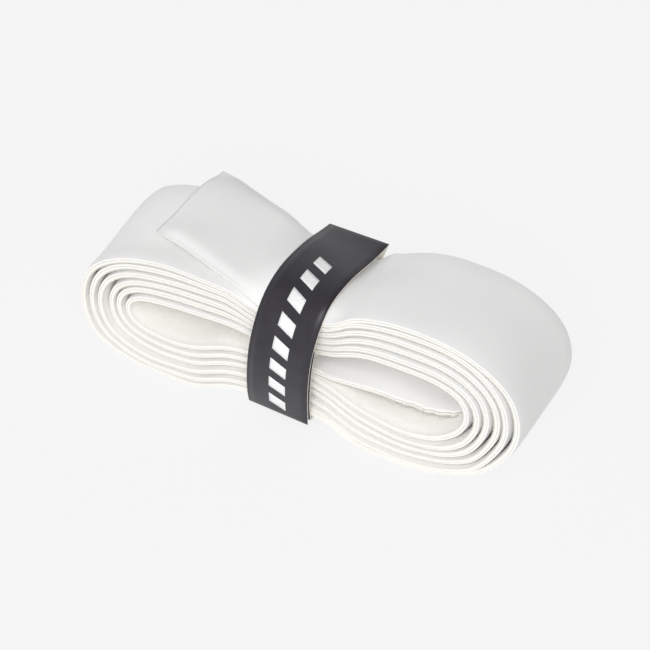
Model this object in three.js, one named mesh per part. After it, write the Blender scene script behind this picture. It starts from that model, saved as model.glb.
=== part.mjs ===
// Grip tape roll: a padded racket grip tape, wound flat and held by a printed paper band.
// Millimetres. X runs along the roll, Y across the tape's width, Z is up.
// The origin is under the middle of the bounding box, on the surface the roll lies on.
import * as THREE from 'three';

// ---- driving dimensions ----
const TAPE_WIDTH = 25;
const SKIN = 0.45;             // thickness of the coated outer face
const BACKING = 1.15;          // thickness of the felt behind it
const LAMINATE_GAP = 0.1;      // clearance between the skin and its felt
const TURNS = 6;               // full turns of tape in the roll
const SAMPLES = 3;             // segments between two stations of the winding

const WAIST_TOP = 33.2;        // top of the last turn, under the band
const WAIST_BOTTOM = 4.4;      // underside of the last turn, under the band
const TAIL_HINGE_X = -12;      // where the free outer end leaves the roll
const TAIL_SWING = 7.4;        // how far the free outer end lies off to the back
const START_HINGE_X = 9;       // where the free inner end leaves the core
const START_TAPER = 5;         // how much narrower the inner end is at its tip

const BAND_WIDTH = 14.5;
const BAND_THICKNESS = 0.3;
const BAND_LEAN = 0.1;         // shift along X per millimetre of height
const BAND_SKEW = 0.02;        // shift along X per millimetre of depth
const BAND_GLUE = 0.2;         // thickness of the glue between the band's two ends

const FINISHING_TAPE = { length: 24, width: 19, thickness: 0.25 };
const RELEASE_PAPER = 0.15;
const ADHESIVE = 0.15;
const CORE_GAP = 0.15;         // clearance round each thin piece in the core

// ---- the winding ----
// The stations go round the roll once, from the top of the waist over the left end, along the
// underside and up the right end. Each gives the tape's outer face on the sixth turn and on the
// first: [outer x, outer z, inner x, inner z]. The turns between are spaced evenly.
const STATIONS = [
  [-2, 31.1, -2, 20.9],        // top of the waist
  [-12, 30.9, -12, 20.7],
  [-21, 31.5, -20, 21.3],
  [-32, 31.7, -29, 21.5],
  [-42.3, 28.8, -36, 20.2],
  [-49.4, 22.7, -39.4, 17.9],
  [-51.6, 13.4, -40.2, 14.9],  // left end
  [-48.2, 4.4, -38.2, 12.2],
  [-37, 0, -32.5, 10.7],
  [-30, 0, -27.5, 10.5],
  [-23.5, 0.3, -22.5, 11.2],
  [-14, WAIST_BOTTOM, -13.7, 14.9],
  [6, WAIST_BOTTOM, 5.8, 14.9],  // underside of the waist
  [14.5, 0.6, 13.8, 11.3],
  [20, 0, 19, 10.6],
  [27, 0, 25, 10.5],
  [38.5, 3.4, 34, 12.4],
  [48, 10.8, 39.6, 16.6],
  [51.6, 20.4, 40.8, 20.8],    // right end
  [48.9, 30.4, 38.8, 25],
  [39.5, 36.8, 33.5, 27],
  [27, 38.5, 25, 27.7],
  [16.5, 36.6, 16, 26.2],
  [9, 33, 9, 23],
];

// The inner end lies loose in the middle of the right lobe, then runs back through the waist.
const START_TIP = [[35.6, 17.7], [28, 17], [18, 17.3], [START_HINGE_X, 18.3]];
const START_RUN = [[-2, 18.3], [-12, 18.4], [-22, 20.3]];
const START_STATION = 3;       // the station where the inner end has joined the turns

// The outer end comes out from under the band and lies on the left lobe.
const TAIL_RUN = [[-20, 33.7], [-28, 34.2], [-35.6, 34]];

// The band's inner face across the roll, as [y, z]. The paper was sold folded flat, so two creases
// stand out: one low at the front and one high at the back. The inner end starts on the front.
const BAND_INNER_END = [[-14.2, 26], [-14.5, 18], [-14.1, 9], [-13.2, 3.6]];
const BAND_BACK = [
  [-13.2, 3.6], [0, 3.4], [12.2, 3.5], [13.7, 5.3], [14.3, 10], [14.9, 18], [15.6, 26], [16.6, 32.5],
];
const BAND_FRONT = [
  [16.6, 32.5], [11, 33.9], [0, 34.4], [-9.5, 34.5], [-13, 33.9], [-14.9, 31.3], [-15.5, 26],
  [-15.7, 18], [-15.2, 9], [-14.2, 3.4],
];
const GLUE_LINE = [[-14.8, 24], [-15.1, 18], [-14.7, 10]];

function turnPoint(index) {
  const turn = Math.floor(index / STATIONS.length);
  const [ox, oz, ix, iz] = STATIONS[index % STATIONS.length];
  const share = turn / (TURNS - 1);
  return [ix + (ox - ix) * share, iz + (oz - iz) * share];
}

function smoothPath(points, samples) {
  const curve = new THREE.CatmullRomCurve3(
    points.map(([x, z]) => new THREE.Vector3(x, 0, z)), false, 'centripetal');
  const steps = (points.length - 1) * samples;
  const path = [];
  for (let i = 0; i <= steps; i++) {
    const p = curve.getPoint(i / steps);
    path.push(new THREE.Vector2(p.x, p.z));
  }
  return path;
}

// The path moved inwards by a depth. The tape runs left along the top, so inwards is to its left.
function offsetPath(path, depth) {
  return path.map((p, i) => {
    const before = path[Math.max(i - 1, 0)];
    const after = path[Math.min(i + 1, path.length - 1)];
    const along = after.clone().sub(before).normalize();
    return new THREE.Vector2(p.x - along.y * depth, p.y + along.x * depth);
  });
}

// A strip between two depths under the path's outer face, as wide as the tape.
function stripGeometry(path, from, to, width = TAPE_WIDTH) {
  const outline = [...offsetPath(path, from), ...offsetPath(path, to).reverse()];
  const geometry = new THREE.ExtrudeGeometry(new THREE.Shape(outline), {
    depth: width, bevelEnabled: false, steps: 1,
  });
  geometry.translate(0, 0, -width / 2);
  geometry.rotateX(Math.PI / 2);
  return geometry;
}

// Moves every corner of a geometry by a rule that gives its shift.
function reshape(geometry, shift) {
  const position = geometry.getAttribute('position');
  const corner = new THREE.Vector3();
  for (let i = 0; i < position.count; i++) {
    corner.fromBufferAttribute(position, i);
    const move = shift(corner);
    corner.add(move);
    position.setXYZ(i, corner.x, corner.y, corner.z);
  }
  return geometry;
}

function windingPath() {
  const points = [...START_RUN];
  for (let i = START_STATION; i < STATIONS.length * TURNS; i++) {
    points.push(turnPoint(i));
  }
  points.push([-2, WAIST_TOP], [TAIL_HINGE_X, WAIST_TOP - 0.2]);
  const path = smoothPath([[START_HINGE_X, 18.3], ...points], SAMPLES);
  return path.map(restFlat);
}

// The roll's weight presses its underside flat on the surface.
function restFlat(point) {
  return new THREE.Vector2(point.x, Math.max(0, point.y));
}

// ---- materials ----
const material = (color, roughness, metalness = 0) =>
  new THREE.MeshStandardMaterial({ color, roughness, metalness });
const MATERIALS = {
  skin: material('#e9e8e4', 0.55),
  felt: material('#f1eee4', 0.95),
  paper: material('#f3ead2', 0.7),
  adhesive: material('#e6e0c8', 0.4),
  band: material('#37343a', 0.35),
  glue: material('#ddd8c4', 0.5),
  finishing: material('#f2f2f0', 0.4),
};

function piece(name, geometry, finish) {
  const mesh = new THREE.Mesh(geometry, finish.clone());
  mesh.name = name;
  return mesh;
}

// Adds the skin and the felt of one length of tape to a group.
function addTape(group, prefix, path, shift = () => new THREE.Vector3()) {
  const felt = SKIN + LAMINATE_GAP;
  const skin = reshape(stripGeometry(path, 0, SKIN), shift);
  const backing = reshape(stripGeometry(path, felt, felt + BACKING), shift);
  group.add(piece(`${prefix}_skin`, skin, MATERIALS.skin));
  group.add(piece(`${prefix}_backing`, backing, MATERIALS.felt));
}

// ---- the wound tape ----
function buildWinding() {
  const group = new THREE.Group();
  addTape(group, 'tape', windingPath());
  return group;
}

// ---- the free outer end, which lies askew towards the back ----
function buildTail() {
  const group = new THREE.Group();
  const root = [TAIL_HINGE_X - 0.3, WAIST_TOP - 0.2];
  const tip = TAIL_RUN.at(-1);
  const swing = ({ x }) => {
    const share = (root[0] - x) / (root[0] - tip[0]);
    return new THREE.Vector3(0, TAIL_SWING * share, 0);
  };
  addTape(group, 'tail', smoothPath([root, ...TAIL_RUN], SAMPLES), swing);
  return group;
}

// ---- the free inner end, tapered, with an adhesive patch under release paper ----
function buildStart() {
  const group = new THREE.Group();
  const root = [START_HINGE_X + 0.3, 18.3];
  const path = smoothPath([...START_TIP.slice(0, -1), root], SAMPLES);
  const length = START_TIP[0][0] - root[0];
  const taper = ({ x, y }) => {
    const share = THREE.MathUtils.clamp((x - root[0]) / length, 0, 1);
    return new THREE.Vector3(0, y < 0 ? START_TAPER * share : 0, 0);
  };
  addTape(group, 'start', path, taper);

  const under = SKIN + LAMINATE_GAP + BACKING + CORE_GAP;
  const patch = path.slice(0, path.length - SAMPLES);
  const width = TAPE_WIDTH - 2 * START_TAPER - 3;
  const adhesive = stripGeometry(patch, under, under + ADHESIVE, width);
  const paperTop = under + ADHESIVE + CORE_GAP;
  const paper = stripGeometry(patch, paperTop, paperTop + RELEASE_PAPER, width);
  const shiftBack = START_TAPER / 2;
  adhesive.translate(0, shiftBack, 0);
  paper.translate(0, shiftBack, 0);
  group.add(piece('start_adhesive', adhesive, MATERIALS.adhesive));
  group.add(piece('start_release_paper', paper, MATERIALS.paper));
  return group;
}

// ---- the finishing tape and its paper, tucked into the core of the waist ----
function buildFinishingTape() {
  const group = new THREE.Group();
  const { length, width, thickness } = FINISHING_TAPE;
  const paperBottom = 18.3 + 0.6;
  const paper = new THREE.BoxGeometry(length, width, RELEASE_PAPER);
  const tape = new THREE.BoxGeometry(length, width, thickness);
  const tapeBottom = paperBottom + RELEASE_PAPER + CORE_GAP;
  const paperMesh = piece('finishing_tape_paper', paper, MATERIALS.paper);
  const tapeMesh = piece('finishing_tape', tape, MATERIALS.finishing);
  paperMesh.position.set(-1, 0, paperBottom + RELEASE_PAPER / 2);
  tapeMesh.position.set(-1, 0, tapeBottom + thickness / 2);
  group.add(paperMesh, tapeMesh);
  return group;
}

// ---- the band ----
// A strip of the band's width, from a path in the YZ plane to a thickness outside it.
function bandStrip(points, thickness, width) {
  const outline = [...points, ...offsetPath(points, -thickness).reverse()];
  const geometry = new THREE.ExtrudeGeometry(new THREE.Shape(outline), {
    depth: width, bevelEnabled: false, steps: 1,
  });
  geometry.translate(0, 0, -width / 2);
  geometry.rotateX(Math.PI / 2);
  geometry.rotateZ(Math.PI / 2);
  return reshape(geometry, lean);
}

function lean({ y, z }) {
  const x = BAND_SKEW * (y + TAPE_WIDTH / 2) + BAND_LEAN * (z - WAIST_TOP);
  return new THREE.Vector3(x, 0, 0);
}

function buildBand() {
  const group = new THREE.Group();
  const path = [
    ...smoothPath(BAND_INNER_END, SAMPLES),
    ...smoothPath(BAND_BACK, SAMPLES).slice(1),
    ...smoothPath(BAND_FRONT, SAMPLES).slice(1),
  ];
  const band = bandStrip(path, BAND_THICKNESS, BAND_WIDTH);
  const glue = bandStrip(smoothPath(GLUE_LINE, SAMPLES), BAND_GLUE, BAND_WIDTH - 5);
  group.add(piece('belly_band', band, MATERIALS.band));
  group.add(piece('band_glue', glue, MATERIALS.glue));
  return group;
}

// ---- the roll ----
const roll = new THREE.Group();
roll.add(buildWinding(), buildTail(), buildStart(), buildFinishingTape(), buildBand());

const middle = new THREE.Box3().setFromObject(roll).getCenter(new THREE.Vector3());
roll.position.set(-middle.x, -middle.y, 0);

export default roll;
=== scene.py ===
"""Grip tape roll: a padded racket grip tape wound flat, with a printed paper band round its waist.

The shapes are worked out in millimetres in the roll's own frame, whose Y is measured from the
middle of the tape's width, and go to the row frame in metres when a mesh is made.
"""

import math

import bpy
import numpy as np
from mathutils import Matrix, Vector


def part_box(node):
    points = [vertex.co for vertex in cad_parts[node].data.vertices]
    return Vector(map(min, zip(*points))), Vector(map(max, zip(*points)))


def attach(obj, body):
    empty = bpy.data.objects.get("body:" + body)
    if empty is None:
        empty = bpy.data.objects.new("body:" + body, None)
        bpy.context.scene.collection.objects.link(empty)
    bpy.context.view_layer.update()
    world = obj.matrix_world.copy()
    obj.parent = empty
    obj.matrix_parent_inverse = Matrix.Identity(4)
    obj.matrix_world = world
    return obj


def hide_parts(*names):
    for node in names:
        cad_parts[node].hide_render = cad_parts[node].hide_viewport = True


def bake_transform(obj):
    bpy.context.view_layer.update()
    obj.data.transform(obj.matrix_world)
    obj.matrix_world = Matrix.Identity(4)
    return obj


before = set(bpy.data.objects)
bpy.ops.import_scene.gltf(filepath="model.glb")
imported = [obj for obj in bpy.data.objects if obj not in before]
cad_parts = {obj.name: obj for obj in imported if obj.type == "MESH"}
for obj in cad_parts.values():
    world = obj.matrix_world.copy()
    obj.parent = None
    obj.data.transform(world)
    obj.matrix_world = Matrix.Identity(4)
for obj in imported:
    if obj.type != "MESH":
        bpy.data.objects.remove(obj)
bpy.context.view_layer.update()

MM = 0.001
ROLL_LOW, ROLL_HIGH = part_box("tape_skin")
CENTRE_Y = (ROLL_LOW.y + ROLL_HIGH.y) / 2 / MM

# ---- the tape ----
HALF_WIDTH = 12.5
THICKNESS = 1.74          # skin and felt together, away from the edges
LIP = 1.32                # the same at the thinned long edges
BEVEL = 2.4               # how far in the thinning reaches
SKIN = 0.4
CROWN = 0.35              # how far the long edges are drawn inwards
STEP = 0.9                # spacing of the sections along the tape
SECTION = [0, 0.06, 0.16, 0.34, 0.6, 1.0, 1.6, 2.4, 3.4, 5.0, 7.2, 9.8]

# ---- the winding, once round it: the outermost turn's x and z, the innermost turn's x and z ----
TURNS = 6
WAIST_TOP = 33.2          # the plain winding's top in the waist
WAIST_MIDDLE = 18.0       # the band presses down only what lies above this
STATIONS = [
    (-2, 31.4, -2, 20.9), (-12, 32.1, -12, 23.2), (-21, 32.5, -20, 22.9), (-31, 32.2, -29, 22.3),
    (-42.3, 28.9, -36.8, 21.0), (-49.3, 23.1, -40.1, 18.6), (-51.6, 13.5, -40.5, 15.2),
    (-48.2, 4.4, -38.4, 12.0), (-37, 0, -32.5, 10.4), (-30, 0, -27.5, 10.2),
    (-23.5, 0.3, -22.5, 11.2), (-14, 4.2, -13.7, 14.9), (6, 4.4, 5.8, 14.9),
    (14.5, 0.6, 13.8, 11.3), (20, 0, 19, 10.6), (27, 0, 25, 10.5), (38.5, 3.4, 34, 12.2),
    (48, 10.8, 40.1, 16.5), (51.6, 20.4, 41.1, 20.9), (49.1, 30.5, 39.1, 25.3),
    (39.7, 37.1, 33.6, 27.7), (27.3, 38.8, 25, 28.1), (16.5, 37.5, 16, 27.6), (9.2, 34.3, 9, 25.0),
]
EVEN_TURNS = [0, 0.2, 0.4, 0.6, 0.8, 1]             # where the turns lie from inside to outside
PRESSED_TURNS = [0, 0.215, 0.43, 0.65, 0.86, 1]     # the same with the outermost two closer
LOBE_ENDS = (5, 6, 7, 17, 18, 19)                   # the stations where the turns are even
WINDING_END = (2.1, WAIST_TOP - 0.1)
# the wound tape's first stretch, inside the waist, and the station that it leads to
START_RUN = [(1.0, 18.4), (-3.5, 19.9), (-8, 22.3), (-13, 23.2), (-21, 22.95)]
START_STATION = 3
# the free inner end from its cut to its root, and how far its front edge is cut back by x
START_PATH = [(36.4, 16.2), (31, 15.4), (25, 15.6), (18.5, 17.0), (9.4, 18.1), (1.05, 18.4)]
START_CUT = [(0, 0), (9, 0.2), (14, 1.2), (19, 2.5), (25, 4.0), (31, 5.0), (37, 5.7)]
# the free outer end from under the band to its cut
TAIL_PATH = [
    (2, 33.2), (-5, 33.2), (-9.5, 33.3), (-14, 33.75), (-21, 34.2), (-29, 34.0), (-36.4, 33.1),
]
TAIL_LIP = 0.55           # its thickness at the long edges
TAIL_SWING = 7.3          # how far its far end has swung to the back
TAIL_THINNING = 0.72      # the share of its thickness that it loses at the cut
FIBRES = 420              # torn fibres along the inner end's front edge
PATCH_LOW, PATCH_HIGH = -3.5, 8.5
FINISHING_HALF = 9.5
FINISHING_PATH = [(4.2, 18.9), (1, 19.1), (-3.5, 20.7), (-8, 23.0)]

# ---- how the soft roll lies: x, and a height in millimetres ----
LEFT_BACK_RISE = [
    (-54, 0), (-50, 1.6), (-45, 2.3), (-36, 2.1), (-30, 1.1), (-25, 0.3), (-20, -0.3),
    (-16, -0.6), (-12, -0.7), (-8, -0.4), (-2, 0),
]
RIGHT_BACK_FALL = [(2, 0), (7, 0.4), (10, 1.3), (13, 1.5), (16, 1.2), (20, 0.5), (26, 0)]
# the plain winding's own top beside the band, which the band's squeeze starts from
PLAIN_TOP = [(2, WAIST_TOP), (7, 34.1), (9.2, 34.45), (13, 35.0)]
EDGE_DRAW = 0.035         # the share of its width that the tape loses under the band

# ---- the band's outer face: its two side edges seen along X, as y and z, from crease to foot ----
BAND_HALF = 7.25
BAND_THICKNESS = 0.24
BAND_LEAN = 0.1
BAND_FRONT_LEFT = [
    (18, 29.7), (13, 31.3), (7, 33.4), (0, 34.7), (-4, 34.9), (-8, 34), (-11, 32), (-13, 29),
    (-15, 23), (-15.3, 16), (-14, 7), (-12.7, 2.9),
]
BAND_FRONT_RIGHT = [
    (17, 30.6), (12, 31.3), (6, 32.8), (0, 34.4), (-6, 34.9), (-9.5, 34.4), (-12, 32.5),
    (-14, 29), (-15.7, 24), (-15.7, 15), (-13.5, 3),
]
BAND_FACE_TOP = 29        # where the band's rounded top has become its upright face
# from the front foot, under the roll and up its back to the crease
BAND_BACK = [
    (-12.9, 4.0), (-11.4, 3.35), (0, 3.3), (11.5, 3.2), (13.2, 5.2), (13.5, 11), (13.6, 18),
    (13.9, 24), (14.7, 27.8), (17.35, 30.15),
]
# the end that lies inside the overlap, down to the front foot
BAND_INNER_END = [(-14.3, 25), (-14.9, 21), (-14.85, 16), (-14.1, 9.2), (-12.9, 4.0)]
LEFT_REACH = 16.0         # how far from the band's middle its squeeze is felt on the left
RIGHT_REACH = 13.0        # the same on the right, at the front
RIGHT_REACH_LOSS = 2.2    # how much less that is at the back
BAND_PLAY = 1.6           # room at the left for the band to slide
BAND_GAP = 0.6            # from the band's outer face down to the tape under it
CORNER_GAP = 0.35         # how much more that is where the band turns down at the front
GLUE_LINE = [(-15.0, 22), (-15.1, 18), (-14.5, 10)]
GLUE_HALF = 4.6

# ---- the bars printed on the band ----
BARS = 8
FIRST_BAR = 15.0          # from the crease, along the band
LAST_MARGIN = 1.2         # from the last bar to the foot
BAR_SHARE = 0.56          # how much of the pitch a bar takes
BAR_HALF = 0.27           # half its width, in half widths of the band
BAR_SLANT = 3.2

# ---- the studio ----
FLOOR_GLOW = 0.93
DOME = [(0, 1.0), (0.3, 0.97), (0.6, 0.80), (0.85, 0.66), (1, 0.58)]    # upwards, and its light
DOME_TINT = (0.995, 0.995, 1.0)
DOME_STRENGTH = 0.84
DIM_SIDE = (0.97, 0.2, -0.1)
CAMERA_AZIMUTH = math.radians(28.5)
CAMERA_ELEVATION = math.radians(42)
CAMERA_AWAY = 0.55
CAMERA_LENS = 146.8


# ---------------------------------------------------------------- curves
def catmull(points, samples):
    """A centripetal Catmull-Rom curve through the points."""
    p = np.array(points, float)
    out = []
    for i in range(len(p) - 1):
        p1, p2 = p[i], p[i + 1]
        p0 = p[i - 1] if i > 0 else 2 * p1 - p2
        p3 = p[i + 2] if i + 2 < len(p) else 2 * p2 - p1
        pairs = ((p0, p1), (p1, p2), (p2, p3))
        d0, d1, d2 = (max(np.linalg.norm(b - a) ** 0.5, 1e-4) for a, b in pairs)
        m1 = ((p1 - p0) / d0 - (p2 - p0) / (d0 + d1) + (p2 - p1) / d1) * d1
        m2 = ((p2 - p1) / d1 - (p3 - p1) / (d1 + d2) + (p3 - p2) / d2) * d1
        t = (np.arange(samples) / samples)[:, None]
        square = 3 * (p2 - p1) - 2 * m1 - m2
        cube = 2 * (p1 - p2) + m1 + m2
        out.append(p1 + m1 * t + square * t**2 + cube * t**3)
    return np.vstack([*out, p[-1:]])


def distances(path):
    return np.concatenate([[0.0], np.cumsum(np.linalg.norm(np.diff(path, axis=0), axis=1))])


def resample(path, step=None, count=None):
    s = distances(path)
    if count is None:
        count = int(round(s[-1] / step)) + 1
    even = np.linspace(0, s[-1], count)
    return np.stack([np.interp(even, s, path[:, k]) for k in range(path.shape[1])], axis=1)


def soften(path, reach):
    """The path with its corners eased over that many samples; the ends stay where they are."""
    kernel = np.exp(-0.5 * (np.arange(-3 * reach, 3 * reach + 1) / reach) ** 2)
    kernel /= kernel.sum()
    n = 3 * reach
    head = 2 * path[0] - path[n:0:-1]
    foot = 2 * path[-1] - path[-2 : -n - 2 : -1]
    long = np.vstack([head, path, foot])
    columns = [np.convolve(long[:, k], kernel, "valid") for k in range(path.shape[1])]
    return np.stack(columns, axis=1)


def inward(path):
    """The unit normals to the left of the path."""
    along = np.gradient(path, axis=0)
    along /= np.linalg.norm(along, axis=1)[:, None]
    return np.stack([-along[:, 1], along[:, 0]], axis=1)


def level(x, steps):
    """The value at x of a line through pairs of x and value."""
    return np.interp(x, *zip(*steps))


def smoothstep(t):
    t = np.clip(t, 0, 1)
    return t * t * (3 - 2 * t)


def wander(length, reach, seed):
    """A smooth random line of about unit size, that changes over the given reach."""
    rng = np.random.default_rng(seed)
    knots = rng.normal(size=int(length / reach) + 5)
    x = np.arange(len(knots)) * reach
    fine = catmull(np.stack([x, knots], axis=1), 12)
    return lambda s: np.interp(s + reach, fine[:, 0], fine[:, 1])


# ---------------------------------------------------------------- how the roll sits
def press(x, z, y=0.0):
    """How much of the band's squeeze a place feels: 1 under the band, 0 well away from it."""
    off = x - BAND_LEAN * (z - WAIST_TOP)
    left = np.clip((LEFT_REACH + off) / (LEFT_REACH - BAND_HALF - BAND_PLAY), 0, 1) ** 1.7
    reach = RIGHT_REACH - RIGHT_REACH_LOSS * smoothstep((y + 6) / 12)
    right = np.clip((reach - off) / (reach - BAND_HALF), 0, 1) ** 1.4
    return np.minimum(left, right) * (z > WAIST_MIDDLE)


def band_top(edge):
    """The rounded top of one of the band's side edges, by increasing y."""
    curve = catmull(edge, 12)
    return curve[curve[:, 1] >= BAND_FACE_TOP][::-1]


BAND_TOP_LEFT = band_top(BAND_FRONT_LEFT)
BAND_TOP_RIGHT = band_top(BAND_FRONT_RIGHT)


def waist_height(x, y):
    """The height of the tape's top under the band: the band's own profile, less a small gap."""
    left = np.interp(y, BAND_TOP_LEFT[:, 0], BAND_TOP_LEFT[:, 1])
    right = np.interp(y, BAND_TOP_RIGHT[:, 0], BAND_TOP_RIGHT[:, 1])
    share = np.clip((x + BAND_HALF) / (2 * BAND_HALF), 0, 1)
    return left + (right - left) * share - BAND_GAP - CORNER_GAP * smoothstep((-9.5 - y) / 2)


def settle(points):
    """Eases points of the plain winding into the way the soft roll lies."""
    x, y, z = points[:, 0], points[:, 1].copy(), points[:, 2].copy()
    # the back of the left lobe stands higher than its front
    z += level(x, LEFT_BACK_RISE) * smoothstep((y + 9) / 18) * smoothstep((z - 6) / 20)
    # the right lobe falls off to the back beside the band
    z -= level(x, RIGHT_BACK_FALL) * smoothstep((y + 4) / 14) * (z > 20)
    z -= 0.4 * smoothstep(x / 20) * smoothstep((y + 6) / 14) * smoothstep((z - 20) / 10)
    # the turns under the right lobe's hollow lie closer
    low = smoothstep((x - 12) / 16) * smoothstep((48 - x) / 8) * smoothstep((19 - z) / 8)
    z -= 1.5 * low * smoothstep(z / 11)
    # the band presses the stack together and draws its edges in
    near = press(x, z, y)
    y *= 1 - EDGE_DRAW * near
    share = (waist_height(x, y) - WAIST_MIDDLE) / (level(x, PLAIN_TOP) - WAIST_MIDDLE)
    z += near * (z - WAIST_MIDDLE) * (share - 1)
    return np.stack([x, y, z], axis=1)


# ---------------------------------------------------------------- meshes
def to_row(points):
    return (points + np.array([0, CENTRE_Y, 0])) * MM


def make_mesh(name, points, faces, materials, face_material=None, flat=None):
    mesh = bpy.data.meshes.new(name)
    mesh.from_pydata(points.tolist(), [], [tuple(f) for f in faces])
    mesh.validate()
    for material in materials:
        mesh.materials.append(material)
    if face_material is not None:
        mesh.polygons.foreach_set("material_index", np.asarray(face_material, np.int32))
    smooth = np.ones(len(mesh.polygons), bool) if flat is None else ~flat
    mesh.polygons.foreach_set("use_smooth", smooth)
    mesh.update()
    piece = bpy.data.objects.new(name, mesh)
    bpy.context.scene.collection.objects.link(piece)
    return piece


def volume(points, faces):
    a, b, c, d = (points[faces[:, k]] for k in range(4))
    return float((a * np.cross(b, c)).sum() + (a * np.cross(c, d)).sum()) / 6


def slab(outer, inner):
    """The closed surface between two grids of points, as points and four-sided faces, and a mark
    on each face: 0 outer, 1 inner, 2 edge."""
    n, k, _ = outer.shape
    points = np.vstack([outer.reshape(-1, 3), inner.reshape(-1, 3)])
    grid = np.arange(n * k).reshape(n, k)
    under = grid + n * k

    def quads(g):
        return np.stack([g[:-1, :-1], g[:-1, 1:], g[1:, 1:], g[1:, :-1]], axis=-1).reshape(-1, 4)

    def wall(a, b):
        return np.stack([a[:-1], a[1:], b[1:], b[:-1]], axis=-1)

    top, bottom = quads(grid), quads(under)[:, ::-1]
    walls = np.vstack([
        wall(grid[:, 0], under[:, 0]), wall(under[:, -1], grid[:, -1]),
        wall(under[0], grid[0]), wall(grid[-1], under[-1]),
    ])
    faces = np.vstack([top, bottom, walls])
    marks = np.concatenate([np.zeros(len(top)), np.ones(len(bottom)), np.full(len(walls), 2)])
    if volume(points, faces) < 0:
        faces = faces[:, ::-1]
    return points, faces, marks.astype(int)


def across_tape():
    edge = np.array(SECTION)
    left = -HALF_WIDTH + edge
    return np.concatenate([left, [0.0], -left[::-1]])


def crown(y):
    rim = np.clip((np.abs(y) - 8.2) / (HALF_WIDTH - 8.2), 0, 1)
    corner = np.clip((np.abs(y) - (HALF_WIDTH - 0.16)) / 0.16, 0, 1)
    return CROWN * rim**2.2 + 0.1 * corner**2


def thickness(y, lip=LIP):
    return lip + (THICKNESS - lip) * smoothstep((HALF_WIDTH - np.abs(y)) / BEVEL)


def tape_layers(path, seed, across=None, shift=None, lip=LIP, drawn=None):
    """Grids of points for the skin's two faces and the felt's two faces along a path."""
    s = distances(path)
    normal = inward(path)
    y = across_tape() if across is None else across
    y = np.broadcast_to(y, (len(path), y.shape[-1]))
    flat = across_tape()
    edge_front = smoothstep((-flat - 7) / 5)
    edge_back = smoothstep((flat - 7) / 5)
    reaches = (17, 19, 60, 13)
    front, back, sway, body = (wander(s[-1], reach, seed + k) for k, reach in enumerate(reaches))
    lift = (
        0.13 * front(s)[:, None] * edge_front
        + 0.13 * back(s)[:, None] * edge_back
        + 0.035 * body(s)[:, None]
    )
    loose = 1 - press(path[:, :1], path[:, 1:])
    top = loose * ((crown(flat) if drawn is None else drawn) + lift)
    thick = thickness(flat, lip)
    side = 0.16 * sway(s)[:, None] * np.ones_like(flat)
    if shift is not None:
        side = side + shift
    depths = {
        "skin_out": top,
        "skin_in": top + np.minimum(SKIN, 0.62 * thick),
        "felt_out": top + np.minimum(SKIN, 0.62 * thick) + 0.015,
        "felt_in": top + thick - 0.08 * (np.abs(flat) > HALF_WIDTH - 0.1),
    }
    grids = {}
    for name, depth in depths.items():
        d = np.broadcast_to(depth, y.shape)
        x = path[:, :1] + normal[:, :1] * d
        z = path[:, 1:] + normal[:, 1:] * d
        points = np.stack([x, y + side, z], axis=-1)
        grids[name] = settle(points.reshape(-1, 3)).reshape(points.shape)
    return grids


def tape_pieces(grids, skin_name, felt_name):
    made = []
    for name, out, inn, face, wall in (
        # the skin's walls take the lighter edge colour, painted highlight on the lips
        (skin_name, "skin_out", "skin_in", "skin", "edge"),
        # the felt's walls take the darker edge colour, painted shade in the grooves between the turns
        (felt_name, "felt_out", "felt_in", "felt", "felt_edge_painted_shade"),
    ):
        points, faces, marks = slab(to_row(grids[out]), to_row(grids[inn]))
        made.append(make_mesh(name, points, faces, [MATERIALS[face], MATERIALS[wall]], marks == 2))
    return made


# ---------------------------------------------------------------- materials
def new_material(name):
    material = bpy.data.materials.new(name)
    material.use_nodes = True
    nodes = material.node_tree.nodes
    return material, nodes, material.node_tree.links, nodes["Principled BSDF"]


def noise(nodes, links, scale, detail=3.0, roughness=0.5, stretch=None):
    """A noise texture over the object, its scale in features per metre."""
    place = nodes.new("ShaderNodeTexCoord")
    texture = nodes.new("ShaderNodeTexNoise")
    texture.inputs["Scale"].default_value = scale
    texture.inputs["Detail"].default_value = detail
    texture.inputs["Roughness"].default_value = roughness
    if stretch:
        mapping = nodes.new("ShaderNodeMapping")
        mapping.inputs["Scale"].default_value = stretch
        links.new(place.outputs["Object"], mapping.inputs["Vector"])
        links.new(mapping.outputs["Vector"], texture.inputs["Vector"])
    else:
        links.new(place.outputs["Object"], texture.inputs["Vector"])
    return texture.outputs["Fac"]


def ramp(nodes, links, value, low, high, start=0.35, end=0.65):
    node = nodes.new("ShaderNodeValToRGB")
    node.color_ramp.elements[0].position = start
    node.color_ramp.elements[1].position = end
    node.color_ramp.elements[0].color = (*low, 1)
    node.color_ramp.elements[1].color = (*high, 1)
    links.new(value, node.inputs["Fac"])
    return node.outputs["Color"]


def bump(nodes, links, shader, heights):
    """Chains bumps, each a height, its strength and its depth in metres."""
    last = None
    for height, strength, depth in heights:
        node = nodes.new("ShaderNodeBump")
        node.inputs["Strength"].default_value = strength
        node.inputs["Distance"].default_value = depth
        links.new(height, node.inputs["Height"])
        if last is not None:
            links.new(last, node.inputs["Normal"])
        last = node.outputs["Normal"]
    links.new(last, shader.inputs["Normal"])


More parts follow.
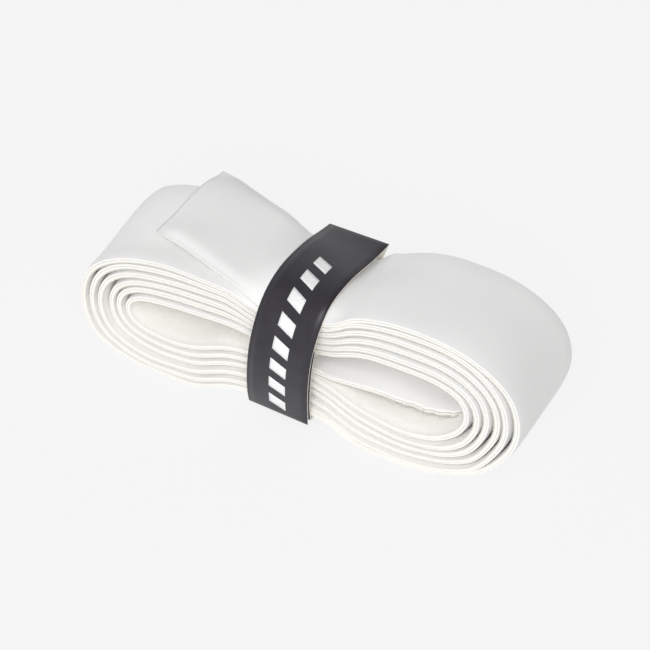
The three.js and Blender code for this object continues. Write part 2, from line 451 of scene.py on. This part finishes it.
def skin_material():
    """White polyurethane: matt, with a very fine grain and faint soft clouds in its tone."""
    material, nodes, links, shader = new_material("skin_pu")
    cloud = noise(nodes, links, 45, 2)
    colour = ramp(nodes, links, cloud, (0.835, 0.833, 0.826), (0.862, 0.86, 0.852))
    links.new(colour, shader.inputs["Base Color"])
    patch = noise(nodes, links, 160, 3)
    rough = nodes.new("ShaderNodeMapRange")
    rough.inputs["To Min"].default_value = 0.42
    rough.inputs["To Max"].default_value = 0.58
    links.new(patch, rough.inputs["Value"])
    links.new(rough.outputs["Result"], shader.inputs["Roughness"])
    shader.inputs["Specular IOR Level"].default_value = 0.4
    grain = noise(nodes, links, 5200, 2)
    leather = noise(nodes, links, 1500, 3)
    bump(nodes, links, shader, [(grain, 0.25, 0.00003), (leather, 0.25, 0.00006)])
    return material


def felt_material():
    """Ivory needled felt: fibrous, very matt, warmer in its depths."""
    material, nodes, links, shader = new_material("felt_ivory")
    tone = noise(nodes, links, 900, 4, 0.6)
    colour = ramp(nodes, links, tone, (0.94, 0.922, 0.885), (0.972, 0.96, 0.932), 0.3, 0.7)
    links.new(colour, shader.inputs["Base Color"])
    shader.inputs["Roughness"].default_value = 0.95
    shader.inputs["Specular IOR Level"].default_value = 0.15
    shader.inputs["Sheen Weight"].default_value = 0.25
    shader.inputs["Sheen Roughness"].default_value = 0.5
    fibre = noise(nodes, links, 2600, 5, 0.7, (1, 0.35, 1))
    lump = noise(nodes, links, 420, 3)
    bump(nodes, links, shader, [(fibre, 0.5, 0.00012), (lump, 0.4, 0.0002)])
    return material


def band_material():
    """Charcoal print under a satin varnish."""
    material, nodes, links, shader = new_material("band_print_charcoal")
    cloud = noise(nodes, links, 300, 4)
    colour = ramp(nodes, links, cloud, (0.020, 0.0175, 0.024), (0.027, 0.024, 0.032))
    links.new(colour, shader.inputs["Base Color"])
    patch = noise(nodes, links, 700, 3)
    rough = nodes.new("ShaderNodeMapRange")
    rough.inputs["To Min"].default_value = 0.3
    rough.inputs["To Max"].default_value = 0.4
    links.new(patch, rough.inputs["Value"])
    links.new(rough.outputs["Result"], shader.inputs["Roughness"])
    shader.inputs["Specular IOR Level"].default_value = 0.42
    fibre = noise(nodes, links, 3000, 3)
    bump(nodes, links, shader, [(fibre, 0.12, 0.00003)])
    return material


def paper_material(name, low, high, roughness):
    """Plain paper with a faint mottle of fibres."""
    material, nodes, links, shader = new_material(name)
    mottle = noise(nodes, links, 1800, 4, 0.6)
    colour = ramp(nodes, links, mottle, low, high, 0.3, 0.7)
    links.new(colour, shader.inputs["Base Color"])
    shader.inputs["Roughness"].default_value = roughness
    fibre = noise(nodes, links, 4200, 3)
    bump(nodes, links, shader, [(fibre, 0.2, 0.00003)])
    return material


def ink_material():
    """Opaque white ink, slightly uneven."""
    material, nodes, links, shader = new_material("band_ink_white")
    mottle = noise(nodes, links, 2400, 3)
    colour = ramp(nodes, links, mottle, (0.80, 0.80, 0.81), (0.90, 0.90, 0.90))
    links.new(colour, shader.inputs["Base Color"])
    shader.inputs["Roughness"].default_value = 0.38
    return material


def glue_material():
    """Dried glue: yellowish, glossy and lumpy."""
    material, nodes, links, shader = new_material("glue_dried")
    tone = noise(nodes, links, 800, 3)
    colour = ramp(nodes, links, tone, (0.66, 0.60, 0.44), (0.78, 0.73, 0.58))
    links.new(colour, shader.inputs["Base Color"])
    shader.inputs["Roughness"].default_value = 0.25
    bump(nodes, links, shader, [(tone, 0.4, 0.0001)])
    return material


def floor_material():
    """A pale studio floor, partly lit from behind so that shadows stay faint."""
    material, nodes, links, shader = new_material("studio_floor")
    shader.inputs["Base Color"].default_value = (0.9, 0.9, 0.9, 1)
    shader.inputs["Roughness"].default_value = 0.9
    shader.inputs["Specular IOR Level"].default_value = 0.0
    glow = nodes.new("ShaderNodeEmission")
    glow.inputs["Color"].default_value = (1, 1, 1, 1)
    glow.inputs["Strength"].default_value = FLOOR_GLOW
    mix = nodes.new("ShaderNodeMixShader")
    mix.inputs["Fac"].default_value = 0.9
    links.new(shader.outputs["BSDF"], mix.inputs[1])
    links.new(glow.outputs["Emission"], mix.inputs[2])
    links.new(mix.outputs["Shader"], nodes["Material Output"].inputs["Surface"])
    return material


MATERIALS = {
    "skin": skin_material(),
    # the skin's cut edges: a lighter, warmer copy of the skin, painted highlight on the lips that face
    # the front light
    "edge": paper_material("skin_cut_edge_painted_highlight", (0.91, 0.895, 0.85), (0.945, 0.935, 0.90), 0.6),
    "felt": felt_material(),
    # the felt's cut edges: a darker, warmer copy of the felt, painted shade for the grooves between
    # the turns
    "felt_edge_painted_shade": paper_material("felt_cut_edge_painted_shade", (0.88, 0.86, 0.79), (0.93, 0.915, 0.865), 0.95),
    "print": band_material(),
    "paper_core": paper_material("band_paper_core", (0.74, 0.71, 0.64), (0.84, 0.81, 0.75), 0.8),
    "ink": ink_material(),
    "release": paper_material("release_paper", (0.80, 0.72, 0.52), (0.88, 0.81, 0.64), 0.45),
    "adhesive": paper_material("adhesive_tacky", (0.72, 0.68, 0.52), (0.80, 0.76, 0.62), 0.3),
    "finishing": paper_material("finishing_vinyl", (0.80, 0.80, 0.79), (0.86, 0.86, 0.85), 0.35),
    "glue": glue_material(),
}


# ---------------------------------------------------------------- the tape's pieces
def winding_path():
    points = list(START_RUN)
    for i in range(START_STATION, len(STATIONS) * TURNS):
        station, turn = i % len(STATIONS), i // len(STATIONS)
        outer_x, outer_z, inner_x, inner_z = STATIONS[station]
        share = (EVEN_TURNS if station in LOBE_ENDS else PRESSED_TURNS)[turn]
        x = inner_x + (outer_x - inner_x) * share
        z = inner_z + (outer_z - inner_z) * share
        points.append((x, z))
    points.append(WINDING_END)
    path = resample(catmull(points, 12), STEP)
    path = soften(path, 2)
    path[:, 1] = np.maximum(path[:, 1], 0)
    return path


def build_winding():
    path = winding_path()
    grids = tape_layers(path, seed=3)
    for grid in grids.values():
        grid[..., 2] = np.maximum(grid[..., 2], 0.0)
    skin, felt = tape_pieces(grids, "wound_skin", "wound_felt")
    for piece, node, slot_name in ((skin, "tape_skin", "skin"), (felt, "tape_backing", "felt")):
        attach(piece, "roll")
        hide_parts(node)


def tail_drift(x):
    """How far the outer end has swung to the back, by its place along X."""
    return TAIL_SWING * np.clip((-8 - x) / 27.8, 0, 1.1) ** 1.2


def tail_droop(points):
    """The outer end's front corner stands up a little, its overhang at the back sags and its cut
    is not quite square."""
    x, y = points[..., 0], points[..., 1]
    points[..., 2] -= 2.2 * np.clip((y - 11.5) / 8.4, 0, 1.2) ** 1.6
    points[..., 2] += 1.1 * smoothstep((-14 - x) / 20) * smoothstep((3 - y) / 9)
    points[..., 0] += 1.7 * np.clip((y + 5.2) / 25, 0, 1) * smoothstep((-20 - x) / 16)
    return points


def build_tail():
    path = soften(resample(catmull(TAIL_PATH, 12), 0.7), 2)
    shift = tail_drift(path[:, :1])
    flat = across_tape()
    bevel = (THICKNESS - thickness(flat, TAIL_LIP)) * np.where(flat < 0, 0.7, 0.3) + 0.05
    grids = tape_layers(path, seed=41, shift=shift, lip=TAIL_LIP, drawn=bevel)
    thinned = 1 - TAIL_THINNING * smoothstep((-31 - path[:, 0]) / 5.4)[:, None, None]
    under = grids["felt_in"].copy()
    for name, grid in grids.items():
        grids[name] = tail_droop(under + (grid - under) * thinned)
    skin, felt = tape_pieces(grids, "outer_end_skin", "outer_end_felt")
    for piece, node, slot_name in ((skin, "tail_skin", "skin"), (felt, "tail_backing", "felt")):
        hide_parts(node)
        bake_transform(piece)


def build_start():
    path = soften(resample(catmull(START_PATH, 12), 0.5), 2)
    s = distances(path)
    flat = across_tape()
    cut = level(path[:, 0], START_CUT)
    rough = smoothstep((path[:, 0] - 20) / 6)
    jag = wander(s[-1], 1.1, 77)(s) * 0.16 + wander(s[-1], 3.1, 78)(s) * 0.2
    cut = cut + rough * jag
    share = (HALF_WIDTH - flat) / (2 * HALF_WIDTH)
    across = flat[None, :] + cut[:, None] * share[None, :]
    grids = tape_layers(path, seed=61, across=across)
    skin, felt = tape_pieces(grids, "inner_end_skin", "inner_end_felt")
    for piece, node, slot_name in ((skin, "start_skin", "skin"), (felt, "start_backing", "felt")):
        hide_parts(node)
        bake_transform(piece)
    return path, grids


def build_start_fibres(grids):
    """Torn felt fibres along the inner end's rough front edge."""
    rng = np.random.default_rng(23)
    upper, lower = grids["felt_out"][:, 0], grids["felt_in"][:, 0]
    along = np.flatnonzero((upper[:, 0] > 19.5) & (upper[:, 0] < 36.2))
    points, faces = [], []
    for _ in range(FIBRES):
        row = rng.choice(along)
        base = lower[row] + (upper[row] - lower[row]) * rng.uniform(0.0, 1.0)
        base = base + np.array([rng.uniform(-0.3, 0.3), 0.12, 0])
        aim = np.array([rng.normal(0, 0.55), -1.0, rng.normal(-0.15, 0.45)])
        aim *= rng.uniform(0.22, 0.85) / np.linalg.norm(aim)
        wide = rng.uniform(0.035, 0.085)
        root = [(wide * math.cos(a), 0, wide * math.sin(a)) for a in (0.3, 2.4, 4.5)]
        corners = [base + np.array(corner) for corner in root]
        first = len(points)
        points += [*corners, base + aim]
        faces += [(first, first + 1, first + 2), (first, first + 3, first + 1),
                  (first + 1, first + 3, first + 2), (first + 2, first + 3, first)]
    points = to_row(np.array(points))
    piece = make_mesh("inner_end_fibres", points, np.array(faces), [MATERIALS["felt"]])
    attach(piece, "start_end")


def thin_sheet(name, path, depth, low_y, high_y, thick, material, seed):
    """A flat strip under a path, between two places across the tape."""
    s = distances(path)
    normal = inward(path)
    y = np.linspace(low_y, high_y, 9)
    wave = 0.03 * wander(s[-1], 6, seed)(s)[:, None] * np.ones_like(y)
    layers = []
    for d in (depth + wave, depth + thick + wave):
        x = path[:, :1] + normal[:, :1] * d
        z = path[:, 1:] + normal[:, 1:] * d
        points = np.stack([x, np.broadcast_to(y, x.shape), z], axis=-1)
        layers.append(to_row(settle(points.reshape(-1, 3)).reshape(points.shape)))
    points, faces, marks = slab(*layers)
    return make_mesh(name, points, faces, [material], flat=marks == 2), s[-1]


def build_start_patch(path):
    """The adhesive under the inner end, and its release paper."""
    part = path[(path[:, 0] > 17.5) & (path[:, 0] < 31.5)]
    for name, depth, thick, key, node, slot_name in (
        ("adhesive_patch", THICKNESS + 0.03, 0.12, "adhesive", "start_adhesive", "adhesive"),
        ("release_sheet", THICKNESS + 0.17, 0.12, "release", "start_release_paper", "release_paper"),
    ):
        piece, length = thin_sheet(name, part, depth, PATCH_LOW, PATCH_HIGH, thick, MATERIALS[key], 91)
        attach(piece, "start_end")
        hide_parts(node)


def build_finishing_tape():
    """The strip of finishing tape on its paper, tucked into the core."""
    path = resample(catmull(FINISHING_PATH, 8), 0.8)
    path = path[path[:, 0] > -6.1]
    for name, depth, thick, key, node, slot_name in (
        ("finishing_strip", 0.0, 0.16, "finishing", "finishing_tape", "finishing_tape"),
        ("finishing_strip_paper", 0.2, 0.12, "release", "finishing_tape_paper", "release_paper"),
    ):
        low, high = -FINISHING_HALF, FINISHING_HALF
        piece, length = thin_sheet(name, path, depth, low, high, thick, MATERIALS[key], 95)
        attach(piece, "roll")
        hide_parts(node)


# ---------------------------------------------------------------- the band
def band_rows(count):
    """The band's outer face as rows of points across it, from its inner end to its outer one, with
    the places across it, the number of rows in the inner end and the row at the crease."""
    side = np.linspace(-1, 1, 9)
    pieces = []
    inner = resample(catmull(BAND_INNER_END, 12), count=count)
    back = resample(catmull(BAND_BACK, 12), count=2 * count)
    left = soften(resample(catmull(BAND_FRONT_LEFT, 12), count=3 * count), 2)
    right = soften(resample(catmull(BAND_FRONT_RIGHT, 12), count=3 * count), 2)
    for line in (inner, back[1:]):
        pieces.append(np.broadcast_to(line[:, None, :], (len(line), len(side), 2)))
    mix = (side + 1) / 2
    front = left[1:, None, :] * (1 - mix)[None, :, None] + right[1:, None, :] * mix[None, :, None]
    pieces.append(front)
    yz = np.vstack(pieces).copy()
    # the last back rows meet the crease, which differs from side to side
    first = len(inner) + len(back) - 2
    crease = left[0] * (1 - mix)[:, None] + right[0] * mix[:, None]
    blend = np.linspace(0, 1, len(back) - 1) ** 4
    for i, share in enumerate(blend):
        row = len(inner) + i
        yz[row] += share * (crease - back[-1])
    return yz, side, len(inner), first


def band_surface(yz, side, offset, widen=None):
    """Band points in the roll's frame, moved outwards by an offset."""
    along = np.gradient(yz, axis=0)
    along /= np.maximum(np.linalg.norm(along, axis=2)[..., None], 1e-9)
    outward = np.stack([along[..., 1], -along[..., 0]], axis=-1)
    moved = yz + outward * offset
    x = side[None, :] * BAND_HALF + BAND_LEAN * (yz[..., 1] - WAIST_TOP)
    if widen is not None:
        x = x + widen
    return np.stack([x, moved[..., 0], moved[..., 1]], axis=-1)


def build_band():
    yz, side, inner_rows, crease_row = band_rows(26)
    rows = np.arange(len(yz))
    to_fold = np.clip(rows / inner_rows, 0, 1)
    after_fold = np.clip((rows - inner_rows) / (crease_row - inner_rows), 0, 1)
    shift = (0.2 * to_fold * (1 - smoothstep(after_fold)))[:, None] * np.ones_like(side)
    inner = band_surface(yz, side, -BAND_THICKNESS, shift)
    outer = band_surface(yz, side, 0.0, shift)
    points, faces, marks = slab(to_row(outer), to_row(inner))
    faced = [MATERIALS["print"], MATERIALS["paper_core"]]
    piece = make_mesh("band_sleeve", points, faces, faced, np.minimum(marks, 1), marks == 2)
    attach(piece, "band")
    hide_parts("belly_band")
    return yz, side, crease_row


def build_band_print(yz, side, crease_row):
    """A row of slanted bars down the band, printed in white."""
    front = yz[crease_row:]
    s = distances(front[:, 4])
    pitch = (s[-1] - LAST_MARGIN - FIRST_BAR) / BARS
    points_all, faces_all = [], []
    base = 0
    for i in range(BARS):
        near = FIRST_BAR + i * pitch
        u = np.linspace(-BAR_HALF, BAR_HALF, 7)
        v = np.linspace(0, pitch * BAR_SHARE, 5)
        grid_u, grid_v = np.meshgrid(u, v)
        place = near + grid_v + (grid_u + BAR_HALF) * BAR_SLANT
        y = np.interp(place, s, front[:, 4, 0])
        z = np.interp(place, s, front[:, 4, 1])
        mix_left = np.stack([np.interp(place, s, front[:, 0, k]) for k in (0, 1)], axis=-1)
        mix_right = np.stack([np.interp(place, s, front[:, -1, k]) for k in (0, 1)], axis=-1)
        mix = (grid_u[..., None] + 1) / 2
        middle = mix_left * (1 - mix) + mix_right * mix
        ahead = np.stack([np.interp(place + 0.4, s, front[:, 4, k]) for k in (0, 1)], axis=-1)
        behind = np.stack([np.interp(place - 0.4, s, front[:, 4, k]) for k in (0, 1)], axis=-1)
        along = ahead - behind
        along /= np.linalg.norm(along, axis=-1)[..., None]
        outward = np.stack([along[..., 1], -along[..., 0]], axis=-1)
        grids = []
        for offset in (0.045, 0.005):
            moved = middle + outward * offset
            x = grid_u * BAND_HALF + BAND_LEAN * (z - WAIST_TOP)
            grids.append(to_row(np.stack([x, moved[..., 0], moved[..., 1]], axis=-1)))
        points, faces, _ = slab(*grids)
        points_all.append(points)
        faces_all.append(faces + base)
        base += len(points)
    piece = make_mesh("band_bars", np.vstack(points_all), np.vstack(faces_all), [MATERIALS["ink"]])
    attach(piece, "band")


def build_band_glue():
    """The glue between the band's two ends."""
    line = resample(catmull(GLUE_LINE, 12), 0.6)
    normal = inward(line)
    u = np.linspace(-1, 1, 9)
    outline = np.sqrt(np.clip(1 - np.linspace(-1, 1, len(line)) ** 6, 0.02, 1))[:, None]
    x = u * GLUE_HALF * outline + BAND_LEAN * (line[:, 1:] - WAIST_TOP) + 0.2
    grids = []
    for side_sign in (1, -1):
        swell = 0.1 * side_sign * (1 - 0.6 * u**2) * outline
        y = line[:, :1] - normal[:, :1] * swell
        z = line[:, 1:] - normal[:, 1:] * swell
        grids.append(to_row(np.stack([x, y, z], axis=-1)))
    points, faces, _ = slab(*grids)
    piece = make_mesh("band_glue_spot", points, faces, [MATERIALS["glue"]])
    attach(piece, "band")
    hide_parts("band_glue")


# ---------------------------------------------------------------- the studio
def build_floor():
    bpy.ops.mesh.primitive_plane_add(size=6, location=(0, 0, -0.00005))
    floor = bpy.context.object
    floor.name = "studio_floor"
    floor.data.materials.append(floor_material())


def build_world():
    """A white tent, brightest near the horizon and dark towards the right side."""
    world = bpy.data.worlds.new("studio")
    bpy.context.scene.world = world
    world.use_nodes = True
    nodes, links = world.node_tree.nodes, world.node_tree.links
    place = nodes.new("ShaderNodeTexCoord")

    def toward(direction, start, end, dim):
        """How much of the light is left: all of it away from the direction, less towards it."""
        dot = nodes.new("ShaderNodeVectorMath")
        dot.operation = "DOT_PRODUCT"
        dot.inputs[1].default_value = Vector(direction).normalized()
        links.new(place.outputs["Generated"], dot.inputs[0])
        span = nodes.new("ShaderNodeMapRange")
        span.interpolation_type = "SMOOTHSTEP"
        span.inputs["From Min"].default_value = start
        span.inputs["From Max"].default_value = end
        span.inputs["To Min"].default_value = 1.0
        span.inputs["To Max"].default_value = dim
        links.new(dot.outputs["Value"], span.inputs["Value"])
        return span.outputs["Result"]

    # bright near the horizon, dimmer overhead
    height = nodes.new("ShaderNodeSeparateXYZ")
    links.new(place.outputs["Generated"], height.inputs["Vector"])
    dome = nodes.new("ShaderNodeValToRGB")
    dome.color_ramp.interpolation = "B_SPLINE"
    stops = dome.color_ramp.elements
    for upwards, _ in DOME[1:-1]:
        stops.new(upwards)
    for stop, (upwards, light) in zip(stops, DOME):
        stop.position = upwards
        stop.color = (light, light, light, 1)
    links.new(height.outputs["Z"], dome.inputs["Fac"])
    both = nodes.new("ShaderNodeMath")
    both.operation = "MULTIPLY"
    links.new(dome.outputs["Color"], both.inputs[0])
    links.new(toward(DIM_SIDE, 0.25, 0.95, 0.0), both.inputs[1])
    tint = nodes.new("ShaderNodeVectorMath")
    tint.operation = "SCALE"
    tint.inputs[0].default_value = DOME_TINT
    links.new(both.outputs["Value"], tint.inputs["Scale"])
    background = nodes["Background"]
    links.new(tint.outputs["Vector"], background.inputs["Color"])
    background.inputs["Strength"].default_value = DOME_STRENGTH


def add_light(name, place, aim, size, power):
    light = bpy.data.lights.new(name, "AREA")
    light.shape = "RECTANGLE"
    light.size, light.size_y = size
    light.energy = power
    lamp = bpy.data.objects.new(name, light)
    lamp.location = place
    lamp.rotation_euler = (Vector(aim) - Vector(place)).to_track_quat("-Z", "Y").to_euler()
    bpy.context.scene.collection.objects.link(lamp)


def build_lights():
    add_light("front_soft", (0.27, -0.64, 0.60), (0, 0, 0.015), (0.75, 0.6), 5.0)


def build_camera():
    target = Vector((0.00099, CENTRE_Y * MM, 0.01888))
    level_part = math.cos(CAMERA_ELEVATION)
    back = Vector((
        math.sin(CAMERA_AZIMUTH) * level_part,
        -math.cos(CAMERA_AZIMUTH) * level_part,
        math.sin(CAMERA_ELEVATION),
    ))
    camera = bpy.data.cameras.new("camera")
    camera.lens = CAMERA_LENS
    camera.sensor_width = 36
    camera.clip_start = 0.01
    camera.clip_end = 20
    holder = bpy.data.objects.new("camera", camera)
    holder.location = target + back * CAMERA_AWAY
    holder.rotation_euler = (-back).to_track_quat("-Z", "Y").to_euler()
    bpy.context.scene.collection.objects.link(holder)
    bpy.context.scene.camera = holder
    bpy.context.scene.view_settings.view_transform = "Standard"


build_camera()
build_world()
build_lights()
build_floor()
build_winding()
build_tail()
start_path, start_grids = build_start()
build_start_fibres(start_grids)
build_start_patch(start_path)
build_finishing_tape()
band_grid, band_side, band_crease = build_band()
build_band_print(band_grid, band_side, band_crease)
build_band_glue()

bpy.context.view_layer.update()
